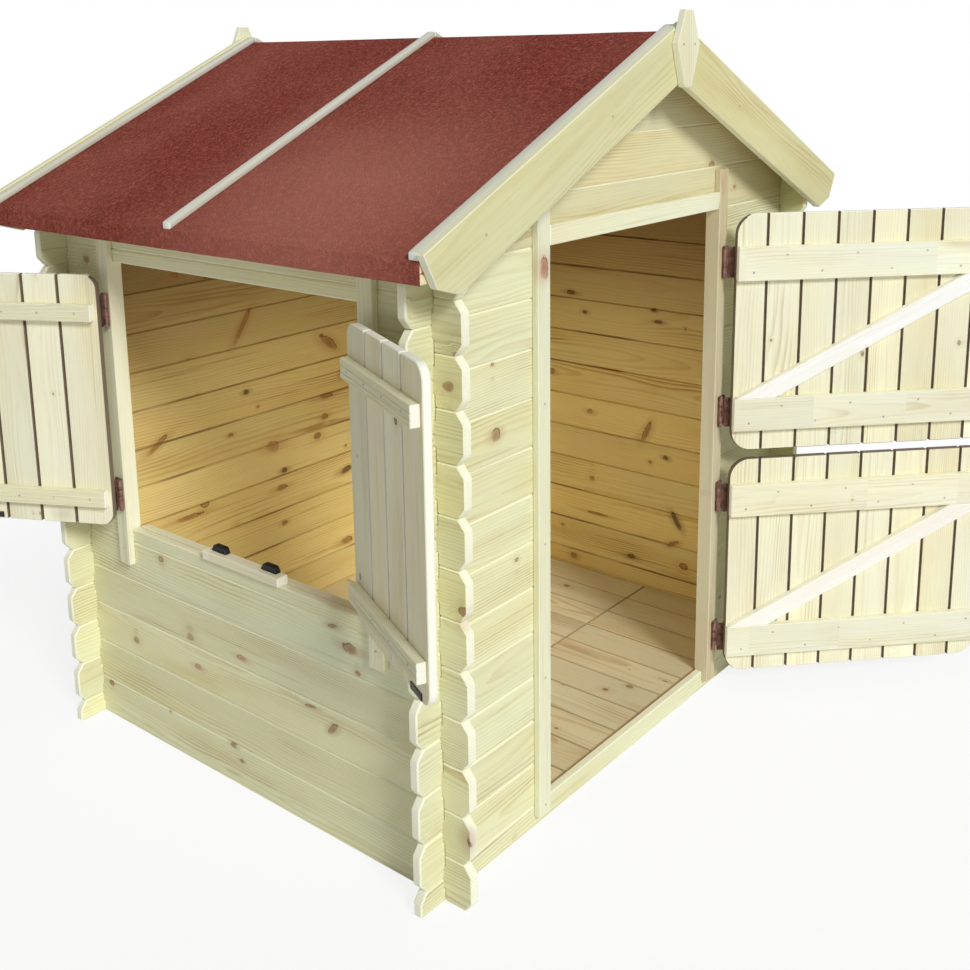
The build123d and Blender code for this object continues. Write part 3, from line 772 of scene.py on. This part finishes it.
def growGrain(piece, along, face, seed, paleSides=False, inPaintedShade=None):
    # Gives each board its own stretch of log, its tone, and the masks of its ends, its seams and its sides
    # painted dark as shade
    v = logValues
    mesh = piece.data
    grainWay = Vector(along).normalized()
    face = Vector(face).normalized()
    axes = np.array([grainWay, face.cross(grainWay), face])
    points = np.array([vertex.co[:] for vertex in mesh.vertices]) @ axes.T
    number = boardNumbers(mesh)
    chance = random.Random(seed)
    grain = np.zeros((len(points), 3))
    tone = np.zeros(len(points))
    for n in np.unique(number):
        own = number == n
        middle = (points[own].min(0) + points[own].max(0)) / 2
        start = chance.uniform(*v["along"])
        aside = chance.choice((-1, 1)) * chance.uniform(0, v["aside"])
        log = (start, aside, chance.uniform(*v["deep"]))
        turn = chance.choice((-1, 1))
        grain[own] = (points[own] - middle) * (turn, 1, turn) + log
        tone[own] = chance.random()
    grainPoint = mesh.attributes.new("grainPoint", "FLOAT_VECTOR", "POINT")
    grainPoint.data.foreach_set("vector", grain.astype(np.float32).ravel())
    mesh.attributes.new("boardTone", "FLOAT", "POINT").data.foreach_set("value", tone.astype(np.float32))
    endCut, seamSide, paintedShadeSide = (
        mesh.attributes.new(name, "FLOAT", "CORNER") for name in ("endCut", "seamSide", "paintedShadeSide")
    )
    for polygon in mesh.polygons:
        out = abs(polygon.normal.dot(face))
        end = abs(polygon.normal.dot(grainWay)) > v["endFrom"]
        side = paleSides and out < v["sideBelow"]
        for corner in polygon.loop_indices:
            endCut.data[corner].value = float(end or side)
            seamSide.data[corner].value = float(not end and out < v["seamBelow"])
            paintedShadeSide.data[corner].value = float(bool(inPaintedShade and inPaintedShade(polygon.normal)))


grooveValues = {"half": 0.0009, "deep": 0.0013, "heights": (0.34, 0.66), "onFace": 0.0002, "onLevel": 0.0001}


def cutGrooves(piece, face):
    # Two grooves along each ledge, in the face that looks this way
    v = grooveValues
    mesh = piece.data
    number = boardNumbers(mesh)
    heights = np.array([vertex.co.z for vertex in mesh.vertices])
    levels = []
    for n in np.unique(number):
        own = heights[number == n]
        levels += [own.min() + (own.max() - own.min()) * share for share in v["heights"]]
    selectOnly(piece)
    editMode()
    bpy.ops.mesh.select_mode(type="VERT")
    for level in levels:
        for offset in (-v["half"], 0, v["half"]):
            bpy.ops.mesh.select_all(action="SELECT")
            bpy.ops.mesh.bisect(plane_co=(0, 0, level + offset), plane_no=(0, 0, 1))
    bpy.ops.mesh.select_all(action="DESELECT")
    objectMode()
    outermost = max(vertex.co.dot(face) for vertex in mesh.vertices)
    for vertex in mesh.vertices:
        onFace = vertex.co.dot(face) > outermost - v["onFace"]
        vertex.select = onFace and min(abs(vertex.co.z - level) for level in levels) < v["onLevel"]
    editMode()
    bpy.ops.transform.translate(value=-face * v["deep"])
    objectMode()


def dressBoards(node, pine, chamfer, along, face, seed, segments=1, grooved=False):
    piece = copyNode(node)
    easeEdges(piece, chamfer, segments)
    if grooved:
        cutGrooves(piece, face)
    growGrain(piece, along, face, seed)
    wear(piece, pines[pine])
    smoothShade(piece, toolValues["boardSmooth"])
    standFor(piece, node)


chamfers = {
    "wall": 0.0026, "trim": 0.0015, "lath": 0.0035, "floor": 0.0022, "roof": 0.0015,
    "leaf": 0.0014, "ledge": 0.0012,
}
lathSegments = 3
roofSlope = math.radians(25.0)
alongX, alongY, upright = (1, 0, 0), (0, 1, 0), (0, 0, 1)
toFront, toBack, toWindow, toFar = (0, -1, 0), (0, 1, 0), (-1, 0, 0), (1, 0, 0)
downLeft, downRight = (Vector((side * math.cos(roofSlope), 0, -math.sin(roofSlope))) for side in (-1, 1))
overLeft, overRight = (Vector((side * math.sin(roofSlope), 0, math.cos(roofSlope))) for side in (-1, 1))

woodenPieces = [
    ("front_wall", "wallPine", "wall", alongX, toFront),
    ("front_gable", "gablePine", "wall", alongX, toFront),
    ("back_wall", "backPine", "wall", alongX, toBack),
    ("back_gable", "gablePine", "wall", alongX, toBack),
    ("window_wall", "wallPine", "wall", alongY, toWindow),
    ("far_side_wall", "farPine", "wall", alongY, toFar),
    ("floor_boards", "floorPine", "floor", alongY, upright),
    ("floor_bearers", "innerPine", "roof", alongX, upright),
    ("ridge_purlin", "innerPine", "trim", alongY, toFar),
    ("roof_boards_left", "innerPine", "roof", downLeft, overLeft),
    ("roof_boards_right", "innerPine", "roof", downRight, overRight),
    ("eave_battens", "innerPine", "trim", alongY, toFar),
    ("roof_battens_left", "lathPine", "lath", downLeft, overLeft),
    ("roof_battens_right", "lathPine", "lath", downRight, overRight),
    ("bargeboard_front_left", "bargePine", "trim", downLeft, toFront),
    ("bargeboard_front_right", "bargePine", "trim", downRight, toFront),
    ("bargeboard_back_left", "bargePine", "trim", downLeft, toBack),
    ("bargeboard_back_right", "bargePine", "trim", downRight, toBack),
    ("finial_front", "trimPine", "trim", upright, toFront),
    ("finial_back", "trimPine", "trim", upright, toBack),
    ("door_casing_left", "trimPine", "trim", upright, toFront),
    ("door_casing_right", "rosyShadedPine", "trim", upright, toFront),
    ("door_head_casing", "trimPine", "trim", alongX, toFront),
    ("window_casing_near", "trimPine", "trim", upright, toWindow),
    ("window_casing_far", "trimPine", "trim", upright, toWindow),
    ("window_sill_batten", "trimPine", "trim", alongY, toWindow),
    ("catch_block", "ledgePine", "trim", alongY, toWindow),
]
for order, (node, pine, chamfer, along, face) in enumerate(woodenPieces):
    segments = lathSegments if chamfer == "lath" else 1
    dressBoards(node, pine, chamfers[chamfer], along, face, seedValues["house"] + order, segments)
print("walls, roof timbers, floor and casings dressed")


# Leaves of the door and shutters

leafValues = {
    # Turn of the closed leaf, mirrored or not, gap between the hinge pin and the leaf, the brace's run
    "upper_door": {"turn": 0, "mirrored": True, "edge": 0.019, "braceRun": 0.5},
    "lower_door": {"turn": 0, "mirrored": True, "edge": 0.019, "braceRun": 0.5},
    "left_shutter": {"turn": 90, "mirrored": False, "edge": 0.008},
    "right_shutter": {"turn": -90, "mirrored": True, "edge": 0.008},
}
slotValues = {
    "drawBack": 0.0018, "tongueThick": 0.006, "tongueWide": 0.009, "short": 0.0015, "tongueEdge": 0.0005,
    "outermost": 0.001, "onEdge": 0.0003, "halfGap": 0.0005,
}
# How far a face has to look towards the hinge, or towards the other door leaf, to be painted dark as shade
paintedShadeValues = {"hingeSide": -0.35, "meetingSide": 0.5}


def openAngle(leaf):
    # The leaf opens from its closed limit to rest
    return max(abs(limit) for limit in jointOfLeaf[leaf]["range_deg"])


def heading(leaf, closedWay):
    # A direction on the closed leaf, in degrees from +X, as it points with the leaf at rest
    values = leafValues[leaf]
    swung = closedWay - openAngle(leaf)
    way = math.radians(values["turn"] + (-swung if values["mirrored"] else swung))
    return Vector((math.cos(way), math.sin(way), 0))


def openSlots(piece, across):
    # Draws back the edges where boards meet and returns the places of these seams
    v = slotValues
    mesh = piece.data
    number = boardNumbers(mesh)
    places = np.array([vertex.co.dot(across) for vertex in mesh.vertices])
    low, high = places.min() + v["outermost"], places.max() - v["outermost"]
    seams = []
    for n in np.unique(number):
        own = number == n
        for edge, step in ((places[own].min(), 1), (places[own].max(), -1)):
            if low < edge < high:
                for index in np.flatnonzero(own & (abs(places - edge) < v["onEdge"])):
                    mesh.vertices[index].co += across * step * v["drawBack"]
                if step > 0:
                    seams.append(edge - v["halfGap"])
    return seams


def modelTongues(piece, across, face, seams):
    # Strips in the middle of the leaf's thickness, seen at the bottom of the slots, coloured dark as painted
    # shade
    v = slotValues
    depths = [vertex.co.dot(face) for vertex in piece.data.vertices]
    levels = [vertex.co.z for vertex in piece.data.vertices]
    centre = face * (max(depths) + min(depths)) / 2 + Vector((0, 0, (max(levels) + min(levels)) / 2))
    tall = max(levels) - min(levels) - 2 * v["short"]
    turn = Matrix((across, face, (0, 0, 1))).transposed().to_4x4()
    tongues = []
    for seam in seams:
        tongue = newBox((v["tongueWide"], v["tongueThick"], tall))
        easeEdges(tongue, v["tongueEdge"])
        tongue.data.transform(Matrix.Translation(across * seam + centre) @ turn)
        wear(tongue, plains["slotPaintedShade"])
        tongues.append(tongue)
    return tongues


for order, (leaf, values) in enumerate(leafValues.items()):
    toEdge = heading(leaf, 180)
    faceWay = heading(leaf, -90)
    boards = copyNode(f"{leaf}_boards")
    seams = openSlots(boards, toEdge)
    tongues = modelTongues(boards, toEdge, faceWay, seams)
    easeEdges(boards, chamfers["leaf"])
    # The edge by the hinge, and the edges of the two door leaves that meet, are painted dark as shade
    meeting = {"upper_door": -1, "lower_door": 1}.get(leaf, 0)
    growGrain(
        boards, upright, faceWay, seedValues["leafBoards"] + order, paleSides=True,
        inPaintedShade=lambda normal: normal.dot(toEdge) < paintedShadeValues["hingeSide"]
        or normal.z * meeting > paintedShadeValues["meetingSide"],
    )
    wear(boards, pines["leafPine"])
    boards = joined([boards] + tongues)
    smoothShade(boards, toolValues["boardSmooth"])
    standFor(boards, f"{leaf}_boards")
    isShutter = "shutter" in leaf
    dressBoards(
        f"{leaf}_ledges", "slatPine" if isShutter else "ledgePine", chamfers["ledge"], toEdge, faceWay,
        seedValues["ledges"] + order, grooved=isShutter,
    )
    if "braceRun" in values:
        node = f"{leaf}_brace"
        low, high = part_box(node)
        slant = toEdge * values["braceRun"] + Vector((0, 0, high.z - low.z))
        dressBoards(node, "bracePine", chamfers["ledge"], slant, faceWay, seedValues["braces"] + order)
print("leaves dressed")


# Roofing felt

for node in ("felt_left", "felt_right"):
    felt = copyNode(node)
    low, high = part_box(node)
    selectOnly(felt)
    editMode()
    for axis, cuts in ((1, feltValues["acrossCuts"]), (0, feltValues["downCuts"])):
        normal = Vector((0, 0, 0))
        normal[axis] = 1
        for k in range(1, cuts):
            bpy.ops.mesh.select_all(action="SELECT")
            place = low[axis] + (high[axis] - low[axis]) * k / cuts
            bpy.ops.mesh.bisect(plane_co=normal * place, plane_no=normal)
    objectMode()
    easeEdges(felt, feltValues["edge"], 1, toolValues["roundEaseAbove"])
    waves = bpy.data.textures.new(titleOf(node) + "Waves", "CLOUDS")
    waves.noise_scale = feltValues["waveSize"]
    applyModifier(
        felt, "DISPLACE", texture=waves, texture_coords="LOCAL", direction="Z", strength=feltValues["wave"],
        mid_level=0.5,
    )
    wear(felt, redFelt)
    smoothShade(felt)
    standFor(felt, node)
print("felt laid")


# Screws

screwValues = {
    "sides": 20, "radius": 0.0024, "tall": 0.0008, "ease": 0.45,
    "recessWide": 0.0006, "recessLong": 0.0028, "recessDeep": 0.0005,
}


def modelScrew():
    # A round head with a cross recess, its underside on the XY plane
    v = screwValues
    selectNothing()
    head = newRod(v["sides"], v["radius"], 0, v["tall"])
    easeEdges(head, v["tall"] * v["ease"], 2, toolValues["roundEaseAbove"])
    cutters = []
    for turn in (0, 90):
        size = (v["recessLong"], v["recessWide"], v["recessDeep"] * 2)
        cutters.append(newBox(size, (0, 0, v["tall"]), turn))
    for cutter in cutters:
        applyModifier(head, "BOOLEAN", operation="DIFFERENCE", object=cutter, solver="EXACT")
    selectOnly(*cutters)
    bpy.ops.object.delete()
    smoothShade(head)
    return head


screwModel = modelScrew()
chanceOfTurn = random.Random(seedValues["screws"])


def placedScrew(centre, away):
    # A copy of the head at a place, facing away from the wood, its recess turned at random
    copy = screwModel.copy()
    copy.data = screwModel.data.copy()
    bpy.context.scene.collection.objects.link(copy)
    turn = Vector((0, 0, 1)).rotation_difference(away).to_matrix().to_4x4()
    spin = Matrix.Rotation(chanceOfTurn.uniform(0, math.pi), 4, "Z")
    copy.data.transform(Matrix.Translation(centre) @ turn @ spin)
    return copy


def dressScrews(node, awayOf):
    heads = []
    for centre in centresOf(node):
        away = awayOf(centre)
        heads.append(placedScrew(centre - away * screwValues["tall"] / 2, away))
    piece = joined(heads)
    wear(piece, plains["zincScrew"])
    standFor(piece, node)


def awayFromCasing(centre):
    onWindowWall = centre.x < -0.6
    return Vector(toWindow if onWindowWall else toFront)


dressScrews("roof_edge_screws", lambda centre: Vector((0, math.copysign(1, centre.y), 0)))
dressScrews("casing_screws", awayFromCasing)
for leaf in leafValues:
    dressScrews(f"{leaf}_screws", lambda centre: heading(leaf, -90))
print("screws placed")


# Hinges

hingeValues = {
    "axisStand": 0.006, "tall": 0.066, "plateThick": 0.002, "knuckle": 0.0045, "near": 0.0053,
    "frameWide": 0.018, "leafReach": 0.026, "proud": 0.0002, "knuckleGap": 0.0004, "corner": 0.004,
    "plateEase": 0.0004, "knuckleEase": 0.0006, "sides": 28,
    # The straps between plates and knuckles
    "strapFrom": 0.0005, "strapOver": 0.002, "strapCorner": 0.0003,
    # The heads of the pin
    "pinHead": 0.00297, "pinProud": 0.0012, "pinIn": 0.001, "pinEase": 0.0005,
    # The screws: shares of the plate's width for the outer two and for the middle one
    "screwStep": 0.024, "screwSink": 0.0003, "frameScrews": (0.42, 0.66), "leafScrews": (0.38, 0.7),
}


def plateBetween(x0, x1, y0, y1, z0, z1, corner):
    # A flat plate with rounded corners, eased all round
    plate = newBox((x1 - x0, y1 - y0, z1 - z0), ((x0 + x1) / 2, (y0 + y1) / 2, (z0 + z1) / 2))
    editMode()
    bpy.ops.mesh.select_all(action="DESELECT")
    objectMode()
    for edge in plate.data.edges:
        a, b = (plate.data.vertices[i].co for i in edge.vertices)
        edge.select = abs(a.y - b.y) > abs(y1 - y0) * 0.9
    editMode()
    bpy.ops.mesh.select_mode(type="EDGE")
    bpy.ops.mesh.bevel(offset=corner, segments=4, affect="EDGES")
    objectMode()
    easeEdges(plate, hingeValues["plateEase"], 1, toolValues["roundEaseAbove"])
    return plate


def barrel(radius, z0, z1, ease):
    piece = newRod(hingeValues["sides"], radius, z0, z1)
    easeEdges(piece, ease, 2, toolValues["roundEaseAbove"])
    return piece


def modelHinge(z, edge):
    # Both halves of a hinge whose pin stands on the Z axis, its leaf closed along -X and outward +Y
    v = hingeValues
    foot, top = z - v["tall"] / 2, z + v["tall"] / 2
    third = v["tall"] / 3
    low = (foot, foot + third - v["knuckleGap"])
    middle = (foot + third, foot + 2 * third - v["knuckleGap"])
    high = (foot + 2 * third, top)
    strapEnd = v["near"] + v["strapOver"]
    y0, y1 = -v["axisStand"], -v["axisStand"] + v["plateThick"]
    framePlates = [plateBetween(v["near"], v["near"] + v["frameWide"], y0, y1, foot, top, v["corner"])]
    for levels in (low, high):
        framePlates.append(plateBetween(v["strapFrom"], strapEnd, y0, y1, *levels, v["strapCorner"]))
    frameKnuckles = [barrel(v["knuckle"], *levels, v["knuckleEase"]) for levels in (low, high)]
    for levels in ((foot - v["pinProud"], foot + v["pinIn"]), (top - v["pinIn"], top + v["pinProud"])):
        frameKnuckles.append(barrel(v["pinHead"], *levels, v["pinEase"]))
    y2, y3 = y0 + v["proud"], y1 + v["proud"]
    leafPlates = [
        plateBetween(-edge - v["leafReach"], -v["near"], y2, y3, foot, top, v["corner"]),
        plateBetween(-strapEnd, -v["strapFrom"], y2, y3, *middle, v["strapCorner"]),
    ]
    leafKnuckles = [barrel(v["knuckle"], *middle, v["knuckleEase"])]
    frameScrews, leafScrews = [], []
    for step, row in ((-1, 0), (0, 1), (1, 0)):
        level = z + step * v["screwStep"]
        x = v["near"] + v["frameWide"] * v["frameScrews"][row]
        frameScrews.append(placedScrew(Vector((x, y1 - v["screwSink"], level)), Vector(toBack)))
        x = -edge - v["leafReach"] * v["leafScrews"][row]
        leafScrews.append(placedScrew(Vector((x, y3 - v["screwSink"], level)), Vector(toBack)))
    return (framePlates, frameKnuckles, frameScrews), (leafPlates, leafKnuckles, leafScrews)


def finishHalf(leaf, groups, angle):
    # Gives plates, knuckles and screws their metals and puts them on the leaf's hinge pin
    values = leafValues[leaf]
    x, y, z = jointOfLeaf[leaf]["pos_m"]
    flip = Matrix.Diagonal((1, -1, 1, 1)) if values["mirrored"] else Matrix.Identity(4)
    home = Matrix.Translation((x, y, 0)) @ Matrix.Rotation(math.radians(values["turn"]), 4, "Z") @ flip
    home = home @ Matrix.Rotation(math.radians(-angle), 4, "Z")
    for pieces, metal in zip(groups, ("copperPlate", "highlightKnuckleCopper", "darkSteel")):
        for piece in pieces:
            wear(piece, plains[metal])
            piece.data.transform(home)
            if values["mirrored"]:
                piece.data.flip_normals()
    return [piece for pieces in groups for piece in pieces]


def finishHinges(node, pieces):
    piece = joined(pieces)
    smoothShade(piece)
    standFor(piece, node)


selectNothing()
framePieces = {"door": [], "shutter": []}
for leaf, values in leafValues.items():
    low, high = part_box(f"{leaf}_hinges")
    leafPieces = []
    for z in (low.z + hingeValues["tall"] / 2, high.z - hingeValues["tall"] / 2):
        frameGroups, leafGroups = modelHinge(z, values["edge"])
        framePieces[leaf.split("_")[1]] += finishHalf(leaf, frameGroups, 0)
        leafPieces += finishHalf(leaf, leafGroups, openAngle(leaf))
    finishHinges(f"{leaf}_hinges", leafPieces)
for opening, pieces in framePieces.items():
    finishHinges(f"{opening}_hinge_frames", pieces)
print("hinges made")


# Catches and strikes

catchValues = {"doorEdge": 0.0012, "shutterEdge": 0.003, "strikeEdge": 0.0006}


def dressFitting(node, edge, segments, material):
    piece = copyNode(node)
    easeEdges(piece, edge, segments)
    wear(piece, material)
    smoothShade(piece)
    standFor(piece, node)


dressFitting("door_catches", catchValues["doorEdge"], 2, plains["blackPlastic"])
dressFitting("shutter_catches", catchValues["shutterEdge"], 4, plains["blackPlastic"])
for leaf in leafValues:
    dressFitting(f"{leaf}_strike", catchValues["strikeEdge"], 2, plains["darkSteel"])
selectOnly(screwModel)
bpy.ops.object.delete()
print("catches made")


# Floor, light and camera

stageValues = {
    "floorSize": 60, "floor": (246, 246, 246), "nearLift": 0.84, "fadeFrom": 0.9, "fadeTo": 2.6,
    "ambient": 0.28, "sunFrom": (-0.3, -0.78, 0.55), "sun": 2.2, "sunAngle": 16.0,
    "roomLight": 3.4, "roomLightAt": (-0.1, -0.08, 0.5), "roomLightSize": 0.22,
}


def seenDirectly(tree):
    # 1 for what the camera sees straight or in a reflection
    path = tree.nodes.new("ShaderNodeLightPath")
    return calc("MAXIMUM", path.outputs["Is Camera Ray"], path.outputs["Is Glossy Ray"])


bpy.ops.mesh.primitive_plane_add(size=stageValues["floorSize"], location=(0, 0, 0))
floor = bpy.context.active_object
floor.name = "paleFloor"
floorMaterial = bpy.data.materials.new("paleFloor")
floorMaterial.use_nodes = True
tree = floorMaterial.node_tree
tree.nodes.clear()
diffuse = tree.nodes.new("ShaderNodeBsdfDiffuse")
diffuse.inputs["Color"].default_value = colour(stageValues["floor"])
glow = tree.nodes.new("ShaderNodeEmission")
glow.inputs["Strength"].default_value = 1.0
away = lengthOf(objectPlace(tree))
lift = ramp(away, stageValues["fadeFrom"], stageValues["fadeTo"], stageValues["nearLift"], 1.0)
blendShader = tree.nodes.new("ShaderNodeMixShader")
feed(blendShader.inputs[0], times(seenDirectly(tree), lift))
tree.links.new(diffuse.outputs[0], blendShader.inputs[1])
tree.links.new(glow.outputs[0], blendShader.inputs[2])
output = tree.nodes.new("ShaderNodeOutputMaterial")
tree.links.new(blendShader.outputs[0], output.inputs[0])
wear(floor, floorMaterial)

world = bpy.data.worlds.new("studio")
bpy.context.scene.world = world
world.use_nodes = True
tree = world.node_tree
tree.nodes.clear()
sky = tree.nodes.new("ShaderNodeBackground")
sky.inputs["Color"].default_value = (1, 1, 1, 1)
feed(sky.inputs["Strength"], ramp(seenDirectly(tree), 0.0, 1.0, stageValues["ambient"], 1.0))
output = tree.nodes.new("ShaderNodeOutputWorld")
tree.links.new(sky.outputs[0], output.inputs[0])

bpy.ops.object.light_add(type="SUN")
sun = bpy.context.active_object
sun.name = "softSun"
sun.data.energy = stageValues["sun"]
sun.data.angle = math.radians(stageValues["sunAngle"])
sun.rotation_mode = "QUATERNION"
sun.rotation_quaternion = Vector(stageValues["sunFrom"]).to_track_quat("Z", "Y")
bpy.ops.object.light_add(type="POINT", location=stageValues["roomLightAt"])
roomLight = bpy.context.active_object
roomLight.name = "roomLight"
roomLight.data.energy = stageValues["roomLight"]
roomLight.data.shadow_soft_size = stageValues["roomLightSize"]
roomLight.visible_camera = False
roomLight.visible_glossy = False

cameraValues = {
    "place": (-1.9546, -1.7108, 1.4139), "heading": 50.811, "tilt": 11.906, "roll": -0.729,
    "lens": 44.43, "sensor": 36, "shiftY": -0.18,
}

turn, tilt, roll = (math.radians(cameraValues[key]) for key in ("heading", "tilt", "roll"))
forward = Vector((math.sin(turn) * math.cos(tilt), math.cos(turn) * math.cos(tilt), -math.sin(tilt)))
level = Vector((math.cos(turn), -math.sin(turn), 0))
down = forward.cross(level)
right = level * math.cos(roll) - down * math.sin(roll)
lower = level * math.sin(roll) + down * math.cos(roll)
camera = bpy.data.objects.new("camera", bpy.data.cameras.new("camera"))
bpy.context.scene.collection.objects.link(camera)
camera.data.lens = cameraValues["lens"]
camera.data.sensor_width = cameraValues["sensor"]
camera.data.shift_y = cameraValues["shiftY"]
camera.rotation_mode = "QUATERNION"
camera.rotation_quaternion = Matrix((right, -lower, -forward)).transposed().to_quaternion()
camera.location = cameraValues["place"]
bpy.context.scene.camera = camera
bpy.context.scene.view_settings.view_transform = "Standard"
print("stage, light and camera set")
